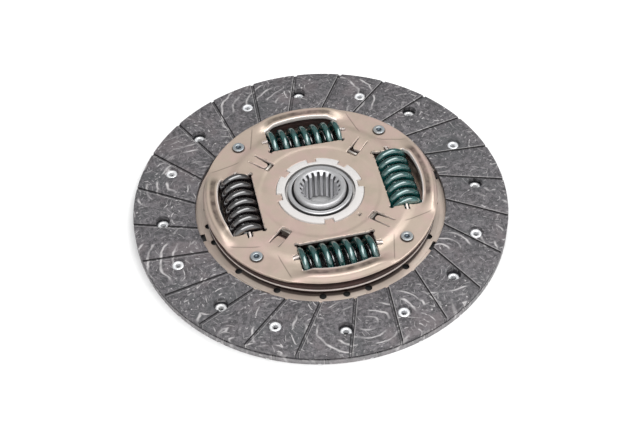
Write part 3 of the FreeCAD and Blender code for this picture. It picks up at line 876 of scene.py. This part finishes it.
class CLUTCHDISC_OT_facings(ClutchDiscOperator):
    """Soften the edges of both friction facings and give them their ground surface"""

    bl_idname = "clutch_disc.facings"
    bl_label = "Friction facings"

    def execute(self, context):
        edge = settings().small.facing_edge
        names = {"facing_upper": "upper_facing", "facing_lower": "lower_facing"}
        dress(DISC, "facing", facing_finish(), edge, **names)
        return {"FINISHED"}


def rolled_rivet(sizes, base, head_seat):
    """Tubular rivet on the hub axis, with a rolled head above and a rolled tail below."""
    roll = (sizes.rivet_head - sizes.rivet_bore) / 2
    centre = (sizes.rivet_head + sizes.rivet_bore) / 2
    steps = 7
    head = []
    tail = []
    for i in range(steps + 1):
        t = math.pi * i / steps
        head.append((centre + roll * math.cos(t), head_seat + sizes.rivet_roll * math.sin(t) ** ROLL_CURVE))
        tail.append((centre - roll * math.cos(t), base + sizes.rivet_roll * (1 - math.sin(t) ** ROLL_CURVE)))
    shank = [(sizes.rivet_shank, base + sizes.rivet_roll), (sizes.rivet_shank, head_seat)]
    return lathe("facing_rivet", tail + shank + head, steps=32)


class CLUTCHDISC_OT_facing_rivets(ClutchDiscOperator):
    """Make the tubular rivets with their rolled heads, on both sides"""

    bl_idname = "clutch_disc.facing_rivets"
    bl_label = "Facing rivets"

    def execute(self, context):
        sizes = settings().small
        material = sheet_finish(
            "rolled_metal", settings().colours.rivet, (0.92, 0.94, 0.97), (0.78, 0.78, 0.80), 0.35, 0.22, 0.36
        )
        low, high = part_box("facing_rivets_upper")
        first = rolled_rivet(sizes, low.z, high.z - sizes.rivet_roll)
        smooth(first, limit=60)
        lower = turned(first, 0, "lower_facing_rivets")
        shift(first, Matrix.Translation((sizes.rivet_circle, 0, 0)))
        upper = repeated(first, sizes.rivets, sizes.upper_lead)
        upper.name = "upper_facing_rivets"
        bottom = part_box("facing_rivets_lower")[0].z
        over = Matrix.Translation((sizes.rivet_circle, 0, bottom + high.z)) @ Matrix.Rotation(math.pi, 4, "X")
        shift(lower, over)
        lower = repeated(lower, sizes.rivets, sizes.lower_lead)
        lower.name = "lower_facing_rivets"
        finished(upper, DISC, "rivet", material, "facing_rivets_upper")
        finished(lower, DISC, "rivet", material, "facing_rivets_lower")
        return {"FINISHED"}


class CLUTCHDISC_OT_cushion_disc(ClutchDiscOperator):
    """Soften the cushion disc's edges and give it its tempered tint"""

    bl_idname = "clutch_disc.cushion_disc"
    bl_label = "Cushion disc"

    def execute(self, context):
        colours = settings().colours
        material = sheet_finish(
            "tempered_sheet", colours.cushion, (0.62, 0.50, 0.43), (0.48, 0.41, 0.35), 0.15, 0.40, 0.55,
            (paddle_shade_share, colours.paddle_shade), (under_rim, colours.brown_shade),
        )
        edge = settings().small.sheet_edge
        dress(DISC, "cushion", material, edge, cushion_disc="cushion_sheet")
        return {"FINISHED"}


def window_outline(sizes, notched):
    """Damper window on the X axis: inner corner reliefs and, in the upper plate, end notches."""
    half = sizes.window_half
    corner = math.asin(half / sizes.window_outer)
    far = [polar(sizes.window_outer, corner * i / ARC_STEPS) for i in range(ARC_STEPS + 1)]
    slits = []
    if notched:
        for side in (1, -1):
            edges = sorted((sizes.notch_half, sizes.finger_half), reverse=side > 0)
            outer, inner = (sizes.notch_place + side * edge for edge in edges)
            deep = half + sizes.notch_depth
            slits += [(outer, half), (outer, deep), (inner, deep), (inner, half)]
    reach = math.sqrt(sizes.relief**2 - sizes.relief_inset**2)
    start = math.atan2(sizes.relief_inset, reach)
    centre = (sizes.window_inner + sizes.relief_inset, half - sizes.relief_inset)
    relief = arc(sizes.relief, start, 1.5 * math.pi - start, ARC_STEPS, centre)
    upper = far + slits + relief
    lower = [(x, -y) for x, y in reversed(upper[1:])]
    return upper + lower


def slot_outline(sizes, tip, tip_half):
    """Slot on the X axis, which leaves a tongue rooted at its outer end."""
    half = sizes.slot_half
    r = sizes.slot_corner
    start = sizes.slot_start
    corner = arc(r, 0.5 * math.pi, math.pi, 5, (start + r, half - r))
    upper = [
        (tip, tip_half - r),
        (tip + r / 3, tip_half - r / 3),
        (tip + r, tip_half),
        (sizes.tongue_root, sizes.tongue_half),
        (sizes.tongue_root, half),
    ] + corner
    lower = [(x, -y) for x, y in reversed(upper)]
    return upper + lower


def hole_outline(sizes):
    """Centre hole of the retaining plate with its lugs."""
    half = sizes.lug_angle / 2
    notched = [math.radians(a) for a in LUG_PLACES]
    points = []
    for place, following in zip(notched, notched[1:] + [FULL_TURN]):
        points += arc(sizes.lug_radius, place - half, place + half, 4)
        steps = max(4, int((following - place) * STEPS_PER_RADIAN))
        points += arc(sizes.bore, place + half, following - half, steps)
    return points


def sheet_height(sizes, radius, turn, crest_gap, slope):
    """Height of a cover plate's face over its rim, by radius and by angle from the nearest window."""
    lip = sizes.window_outer
    crest = lip + crest_gap
    dish = sizes.dish_rise * (1 - ease((radius - sizes.spring_zone) / sizes.dish_width))
    step = sizes.hub_drop * (1 - ease((radius - sizes.hub_zone) / sizes.hub_slope))
    run = max(0.0, min(1.0, (turn - sizes.ridge_full) / (sizes.ridge_end - sizes.ridge_full)))
    corner = math.asin(sizes.window_half / lip)
    crest_height = sizes.ridge_height * (1 - ease(run)) ** RIDGE_RUN_OUT
    lip_height = sizes.lip_height * (1 - ease((turn - sizes.ridge_full) / (corner - sizes.ridge_full)))
    if radius < lip:
        ridge = lip_height * ease((radius - lip + LIP_SLOPE) / LIP_SLOPE)
    elif radius < crest:
        share = math.sin(0.5 * math.pi * (radius - lip) / crest_gap)
        ridge = lip_height + (crest_height - lip_height) * share
    else:
        share = min(1.0, (radius - crest) / slope)
        ridge = crest_height * (1 - ease(share**RIDGE_SHOULDER))
    return dish - step + ridge


def cover_plate(name, sizes, bore, rim, cutters, crest_gap, slope, tongues):
    """Pressed plate: a flat blank of rings, raised by formula, given its wall and then cut out."""
    piece = started(name, bpy.ops.mesh.primitive_circle_add, vertices=sizes.spokes, radius=bore)
    rings = int(round((rim - bore) / sizes.ring_step))
    with editing(piece):
        for i in range(rings):
            share = (bore + (rim - bore) * (i + 1) / rings) / (bore + (rim - bore) * i / rings)
            bpy.ops.mesh.extrude_edges_move()
            bpy.ops.transform.resize(value=(share, share, 1), center_override=(0, 0, 0))
        face_outwards()
    for vertex in piece.data.vertices:
        flat = vertex.co.to_2d()
        turn = abs((math.atan2(flat.y, flat.x) + QUARTER / 2) % QUARTER - QUARTER / 2)
        vertex.co.z = sheet_height(sizes, flat.length, turn, crest_gap, slope)
    if piece.data.polygons[0].normal.z < 0:
        piece.data.flip_normals()
    apply_modifier(piece, "SOLIDIFY", thickness=sizes.sheet, offset=-1.0)
    cutter = join(cutters)
    apply_modifier(piece, "BOOLEAN", operation="DIFFERENCE", object=cutter, solver="EXACT")
    drop(cutter)
    if tongues:
        bend_tongues(piece, sizes)
        lift_fingers(piece, sizes)
    with editing(piece):
        bpy.ops.mesh.remove_doubles(threshold=WELD)
        bpy.ops.mesh.dissolve_degenerate(threshold=SLIVER)
    soften(piece, sizes.edge, limit=40)
    return piece


def bend_tongues(piece, sizes):
    """Bend the four tongues down from their roots."""
    for vertex in piece.data.vertices:
        turn = math.atan2(vertex.co.y, vertex.co.x)
        near = turn % QUARTER - QUARTER / 2
        radius = vertex.co.to_2d().length
        along, across = radius * math.cos(near), abs(radius * math.sin(near))
        if vertex.co.x * vertex.co.y < 0:
            tip, fall = sizes.long_tip, sizes.long_drop
        else:
            tip, fall = sizes.tongue_tip, sizes.tongue_drop
        if across < sizes.tongue_half + SMALL and tip - SMALL < along < sizes.tongue_root:
            share = (sizes.tongue_root - along) / (sizes.tongue_root - tip)
            vertex.co.z -= fall * share**TONGUE_CURVE


def lift_fingers(piece, sizes):
    """Bend the fingers between the end notches up from their roots."""
    for vertex in piece.data.vertices:
        near, far = sorted((abs(vertex.co.x), abs(vertex.co.y)))
        if abs(far - sizes.notch_place) < sizes.finger_half + SMALL and near > sizes.window_half - SMALL:
            share = 1 - (near - sizes.window_half) / sizes.notch_depth
            vertex.co.z += sizes.finger_lift * max(0.0, share)


class CLUTCHDISC_OT_cover_plates(ClutchDiscOperator):
    """Press, cut and finish the retaining plate and the lower plate"""

    bl_idname = "clutch_disc.cover_plates"
    bl_label = "Cover plates"

    def execute(self, context):
        sizes = settings().plates
        colours = settings().colours
        depth = 10 * MM
        window = prism("window_tool", window_outline(sizes, True), -depth, depth)
        short = slot_outline(sizes, sizes.tongue_tip, sizes.tongue_half)
        long = slot_outline(sizes, sizes.long_tip, sizes.long_half)
        slot = prism("slot_tool", short, -depth, depth)
        long_slot = prism("long_slot_tool", long, -depth, depth)
        hole = prism("hole_tool", hole_outline(sizes), -depth, depth)
        centre = polar(sizes.pilot_circle, sizes.pilot_angle)
        pilot = prism("pilot_tool", arc(sizes.pilot, 0, FULL_TURN * 15 / 16, 15, centre), -depth, depth)
        slots = [repeated(slot, 2, QUARTER / 2), repeated(long_slot, 2, QUARTER * 3 / 2)]
        tools = [repeated(window, 4), hole, pilot] + slots
        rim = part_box("retaining_plate")[1].x
        upper = cover_plate(
            "upper_cover_plate", sizes, sizes.sheet_start, rim, tools,
            sizes.crest_gap, sizes.ridge_slope, True,
        )
        middle_z = middle("hub_flange").z
        lift = Matrix.Translation((0, 0, middle_z + sizes.rim_gap / 2 + sizes.sheet))
        shift(upper, lift)
        lower_window = prism("lower_window_tool", window_outline(sizes, False), -depth, depth)
        lower_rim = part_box("disc_plate")[1].x
        lower = cover_plate(
            "lower_cover_plate", sizes, sizes.lower_bore, lower_rim, [repeated(lower_window, 4)],
            sizes.lower_crest_gap, sizes.lower_ridge_slope, False,
        )
        fall = Matrix.Translation((0, 0, middle_z - sizes.rim_gap / 2 - sizes.sheet))
        shift(lower, fall @ Matrix.Scale(-1, 4, (0, 0, 1)))
        lower.data.flip_normals()
        material = sheet_finish(
            "tan_satin_sheet", colours.plate, colours.plate_pink, colours.plate_dull, 0.42, 0.30, 0.44,
            (rim_shade, colours.brown_shade), (window_edge_highlight, colours.highlight_tone), (finger_highlight, colours.highlight_tone),
            (lip_highlight, colours.highlight_tone), (ridge_shade_bands, colours.brown_shade), (crease_shade, colours.brown_shade),
            (pin_contact_shade, colours.recess),
        )
        finished(upper, DISC, "cover_plate", material, "retaining_plate")
        finished(lower, DISC, "cover_plate", material, "disc_plate")
        return {"FINISHED"}


class CLUTCHDISC_OT_stop_pins(ClutchDiscOperator):
    """Turn the four stop pins with their rounded, dimpled heads"""

    bl_idname = "clutch_disc.stop_pins"
    bl_label = "Stop pins"

    def execute(self, context):
        sizes = settings().small
        plates = settings().plates
        low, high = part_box("stop_pins")
        gap = plates.rim_gap / 2
        mid_z = middle("hub_flange").z
        profile = [
            (0, low.z),
            (sizes.pin_head, low.z),
            (sizes.pin_head, low.z + sizes.pin_rivet),
            (sizes.pin_neck, low.z + sizes.pin_rivet),
            (sizes.pin_neck, mid_z - gap),
            (sizes.pin_body, mid_z - gap),
            (sizes.pin_body, mid_z + gap),
            (sizes.pin_neck, mid_z + gap),
            (sizes.pin_neck, high.z - sizes.pin_rivet),
            (sizes.pin_head, high.z - sizes.pin_rivet),
            (sizes.pin_head, high.z),
        ]
        for i in range(DIMPLE_STEPS + 1):
            turn = math.pi / 2 * i / DIMPLE_STEPS
            profile.append((sizes.pin_dimple * math.cos(turn), high.z - sizes.dimple_depth * math.sin(turn)))
        profile[-1] = (0, high.z - sizes.dimple_depth)
        pin = lathe("stop_pin", profile, steps=40, closed=False)
        soften(pin, sizes.pin_edge, segments=3, limit=40)
        shift(pin, Matrix.Translation((sizes.pin_circle, 0, 0)))
        pins = repeated(pin, 4, sizes.pin_lead)
        pins.name = "riveted_stop_pins"
        colours = settings().colours
        material = sheet_finish(
            "zinc", colours.pin, (0.50, 0.56, 0.60), (0.30, 0.33, 0.35), 0.70, 0.24, 0.38,
            (pin_shade, colours.brown_shade), (dimple_shade_share, colours.dimple),
        )
        finished(pins, DISC, "stop_pin", material, "stop_pins")
        return {"FINISHED"}


def wound_spring(name, outer, wire, turns, sizes):
    """Right-hand coil along Y at the right-hand window, its ends ground flat."""
    low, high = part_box("damper_spring_right")
    span = high.y - low.y
    pitch = span / turns
    mean = outer - wire / 2
    piece = started(name, bpy.ops.mesh.primitive_circle_add, vertices=sizes.sides, radius=wire / 2)
    lead = math.atan(pitch / (FULL_TURN * mean))
    start = Matrix.Translation((mean, 0, 0)) @ Matrix.Rotation(math.pi / 2 - lead, 4, "X")
    shift(piece, start)
    whole = turns + 2 * sizes.ground_share
    apply_modifier(
        piece, "SCREW", axis="Z", angle=FULL_TURN * whole, screw_offset=pitch * whole,
        steps=int(sizes.steps * whole), render_steps=int(sizes.steps * whole), use_smooth_shade=True,
    )
    ground = pitch * sizes.ground_share
    with editing(piece):
        for cut, side in ((ground, "clear_inner"), (ground + span, "clear_outer")):
            bpy.ops.mesh.select_all(action="SELECT")
            bpy.ops.mesh.bisect(plane_co=(0, 0, cut), plane_no=(0, 0, 1), use_fill=True, **{side: True})
        face_outwards(weld=True)
    centre = Vector((middle("damper_spring_right").x, 0, middle("hub_flange").z))
    lay = Matrix.Translation(centre) @ Matrix.Rotation(-math.pi / 2, 4, "X")
    shift(piece, lay @ Matrix.Translation((0, 0, -ground - span / 2)))
    smooth(piece, limit=50)
    return piece


class CLUTCHDISC_OT_springs(ClutchDiscOperator):
    """Wind the damper springs and the inner springs"""

    bl_idname = "clutch_disc.springs"
    bl_label = "Damper springs"

    def execute(self, context):
        sizes = settings().springs
        colours = settings().colours
        teal = paint_finish("teal_paint", colours.teal, 0.38, 2.3)
        black = paint_finish("black_paint", colours.black, 0.10, 2.3)
        heavy = wound_spring("heavy_spring", sizes.outer, sizes.heavy_wire, sizes.turns, sizes)
        light = wound_spring("light_spring", sizes.outer, sizes.light_wire, sizes.turns, sizes)
        inner = wound_spring("inner_coil", sizes.inner_outer, sizes.inner_wire, sizes.inner_turns, sizes)
        places = {
            "right": (heavy, teal), "rear": (light, teal), "left": (heavy, black), "front": (light, teal),
        }
        for quarter, (side, (model, material)) in enumerate(places.items()):
            self.fit(model, side + "_spring", "damper_spring_" + side, quarter, material)
        for side, quarter in (("rear", 1), ("front", 3)):
            self.fit(inner, side + "_inner_spring", "inner_spring_" + side, quarter, black)
        for model in (heavy, light, inner):
            drop(model)
        return {"FINISHED"}

    def fit(self, model, name, cad_node, quarter, material):
        piece = turned(model, quarter * QUARTER, name)
        slot = "spring_black" if material.name.startswith("black") else "spring_teal"
        finished(piece, DISC, slot, material, cad_node)
        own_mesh(piece)


def ease_windows(piece, relief):
    """Move the inner sides of the flange's windows towards the hub, clear of the springs at the stops."""
    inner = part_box("damper_spring_right")[0].x
    half = settings().plates.window_half
    for vertex in piece.data.vertices:
        place = vertex.co
        near, far = sorted((abs(place.x), abs(place.y)))
        if abs(far - inner) < CORNER_REACH and near < half + CORNER_REACH:
            if abs(place.x) > abs(place.y):
                place.x -= math.copysign(relief, place.x)
            else:
                place.y -= math.copysign(relief, place.y)


class CLUTCHDISC_OT_hub(ClutchDiscOperator):
    """Finish the splined hub, the hub flange and the centring sleeve"""

    bl_idname = "clutch_disc.hub"
    bl_label = "Hub"

    def execute(self, context):
        small = settings().small
        colours = settings().colours
        steel = turned_finish(
            "turned_steel", colours.hub, 0.28, (gap_shade, colours.recess), (spline_highlights, colours.bore),
            (spline_roots, colours.recess),
        )
        dress(HUB, "hub_steel", steel, small.sheet_edge, hub="splined_hub")
        dress(HUB, "hub_steel", steel, small.steel_edge, centering_sleeve="sleeve_ring")
        flange = dressed("hub_flange", "windowed_flange", small.steel_edge)
        ease_windows(flange, small.window_relief)
        brown = sheet_finish(
            "dark_brown_steel", colours.flange, (0.10, 0.055, 0.050), (0.045, 0.035, 0.030), 0.15, 0.34, 0.52,
            (flange_highlight, colours.highlight_tone),
        )
        finished(flange, HUB, "flange_steel", brown, "hub_flange")
        return {"FINISHED"}


class CLUTCHDISC_OT_bushes(ClutchDiscOperator):
    """Finish the two moulded bushes"""

    bl_idname = "clutch_disc.bushes"
    bl_label = "Bushes"

    def execute(self, context):
        edge = settings().small.bush_edge
        names = {"centering_bush": "notched_bush", "lower_bush": "lower_moulded_bush"}
        dress(DISC, "bush", bush_finish(), edge, **names)
        return {"FINISHED"}


class CLUTCHDISC_OT_washers(ClutchDiscOperator):
    """Finish the friction washers, the thrust plate and the cone spring"""

    bl_idname = "clutch_disc.washers"
    bl_label = "Washers"

    def execute(self, context):
        colours = settings().colours
        edge = settings().small.sheet_edge
        compound = sheet_finish(
            "friction_compound", colours.washer, (0.13, 0.11, 0.10), (0.06, 0.055, 0.05), 0.0, 0.6, 0.8
        )
        satin = sheet_finish(
            "thin_satin_sheet", colours.thrust, (0.55, 0.50, 0.45), (0.30, 0.28, 0.26), 0.9, 0.30, 0.45
        )
        rings = {"friction_washer_" + side: side + "_friction_ring" for side in ("upper", "lower")}
        dress(DISC, "washer", compound, edge, **rings)
        dress(DISC, "thrust_steel", satin, edge, thrust_plate="armed_thrust_plate", cone_spring="cone_washer")
        return {"FINISHED"}


# Stage

def area_lamp(name, place, size, power):
    """Rectangular lamp that faces the hub axis at the floor."""
    lamp = bpy.data.lights.new(name, "AREA")
    lamp.shape = "RECTANGLE"
    lamp.size, lamp.size_y = size
    lamp.energy = power
    holder = placed(name, lamp)
    holder.matrix_world = looking(Vector(place), Vector((0, 0, 0)), 0.0)


def looking(place, target, roll):
    """Placement that looks from one point at another, with a turn about the line of sight."""
    ahead = (target - place).normalized()
    side = ahead.cross(Vector((0, 0, 1)))
    side = side.normalized() if side.length > SMALL else Vector((1, 0, 0))
    rise = side.cross(ahead)
    right = side * math.cos(roll) + rise * math.sin(roll)
    up = rise * math.cos(roll) - side * math.sin(roll)
    turn = Matrix((right, up, -ahead)).transposed().to_4x4()
    return Matrix.Translation(place) @ turn


def floor_finish(shadow_bore=0.35, shadow_level=0.9, glow_level=0.3):
    """Pale floor that keeps the object's shadow, with a painted shadow under the disc that is lighter inside
    the bore.
    """
    material, g = new_material("pale_floor")
    tone = settings().colours.floor
    reach = settings().facings.outer
    g.base = g.blend(g.noise(300 * MM, 1.0), tone, scaled(tone, 0.985))
    under = g.between(g.radius, reach - 4 * MM, reach - 12 * MM)
    bore = g.between(g.radius, 14 * MM, 20 * MM)
    g.layer(g.times(under, g.spread(bore, 0, 1, shadow_bore, shadow_level)), settings().colours.recess)
    plain_floor = g.node("BsdfDiffuse", {"Color": g.base}).outputs[0]
    clear = g.times(g.between(g.radius, reach, reach + 16 * MM), glow_level)
    glow = g.node("Emission", {"Color": (1, 1, 1, 1), "Strength": clear}).outputs[0]
    both = g.node("AddShader", {0: plain_floor, 1: glow}).outputs[0]
    camera_ray = g.node("LightPath").outputs["Is Camera Ray"]
    mixed = g.node("MixShader", {0: camera_ray, 1: plain_floor, 2: both}).outputs[0]
    g.node("OutputMaterial", {"Surface": mixed})
    return material


class CLUTCHDISC_OT_stage(ClutchDiscOperator):
    """Set the floor, the lamps, the world and the camera"""

    bl_idname = "clutch_disc.stage"
    bl_label = "Stage"

    def execute(self, context):
        stage = settings().stage
        scene = bpy.context.scene
        floor = started("floor", bpy.ops.mesh.primitive_plane_add, size=stage.floor_size)
        floor.data.materials.append(floor_finish())
        world = bpy.data.worlds.new("studio")
        world.use_nodes = True
        sky = Graph(world.node_tree)
        direction = sky.node("TexCoord").outputs["Generated"]
        ahead, rise = sky.node("SeparateXYZ", {0: direction}).outputs[1:]
        front = sky.times(sky.between(ahead, 0.15, -0.85), stage.front)
        above = sky.spread(sky.between(rise, 0.15, 0.75), 0, 1, stage.horizon, stage.zenith)
        background = sky.tree.nodes["Background"]
        background.inputs["Color"].default_value = (1, 1, 1, 1)
        sky.tree.links.new(sky.maths("ADD", front, above), background.inputs["Strength"])
        scene.world = world
        area_lamp("softbox_lamp", SOFTBOX_PLACE, SOFTBOX_SIZE, stage.softbox)
        camera = bpy.data.cameras.new("photo_camera")
        camera.lens = stage.lens
        camera.sensor_width = SENSOR_WIDTH
        camera.clip_start = NEAR_CLIP
        holder = placed("photo_camera", camera)
        holder.matrix_world = looking(Vector(stage.eye), Vector(stage.target), stage.roll)
        scene.camera = holder
        scene.view_settings.view_transform = "Standard"
        return {"FINISHED"}


# Panel and registration

class ClutchDiscSettings(bpy.types.PropertyGroup):
    """All settings of the clutch disc."""

    plates: bpy.props.PointerProperty(type=ClutchDiscPlateSizes)
    springs: bpy.props.PointerProperty(type=ClutchDiscSpringSizes)
    facings: bpy.props.PointerProperty(type=ClutchDiscFacingSizes)
    small: bpy.props.PointerProperty(type=ClutchDiscSmallSizes)
    colours: bpy.props.PointerProperty(type=ClutchDiscColours)
    stage: bpy.props.PointerProperty(type=ClutchDiscStage)


OPERATORS = (
    CLUTCHDISC_OT_facings,
    CLUTCHDISC_OT_facing_rivets,
    CLUTCHDISC_OT_cushion_disc,
    CLUTCHDISC_OT_cover_plates,
    CLUTCHDISC_OT_stop_pins,
    CLUTCHDISC_OT_springs,
    CLUTCHDISC_OT_hub,
    CLUTCHDISC_OT_bushes,
    CLUTCHDISC_OT_washers,
    CLUTCHDISC_OT_stage,
)


class CLUTCHDISC_PT_panel(bpy.types.Panel):
    """Sidebar panel that lists the operators"""

    bl_label = "Clutch Disc"
    bl_idname = "CLUTCHDISC_PT_panel"
    bl_space_type = "VIEW_3D"
    bl_region_type = "UI"
    bl_category = "Clutch Disc"

    def draw(self, context):
        for operator in OPERATORS:
            self.layout.operator(operator.bl_idname)


CLASSES = (
    ClutchDiscPlateSizes,
    ClutchDiscSpringSizes,
    ClutchDiscFacingSizes,
    ClutchDiscSmallSizes,
    ClutchDiscColours,
    ClutchDiscStage,
    ClutchDiscSettings,
) + OPERATORS + (CLUTCHDISC_PT_panel,)


def register():
    for item in CLASSES:
        bpy.utils.register_class(item)
    bpy.types.Scene.clutch_disc = bpy.props.PointerProperty(type=ClutchDiscSettings)


def unregister():
    del bpy.types.Scene.clutch_disc
    for item in reversed(CLASSES):
        bpy.utils.unregister_class(item)


def main():
    register()
    for operator in OPERATORS:
        group, name = operator.bl_idname.split(".")
        getattr(getattr(bpy.ops, group), name)()


if __name__ == "__main__":
    main()
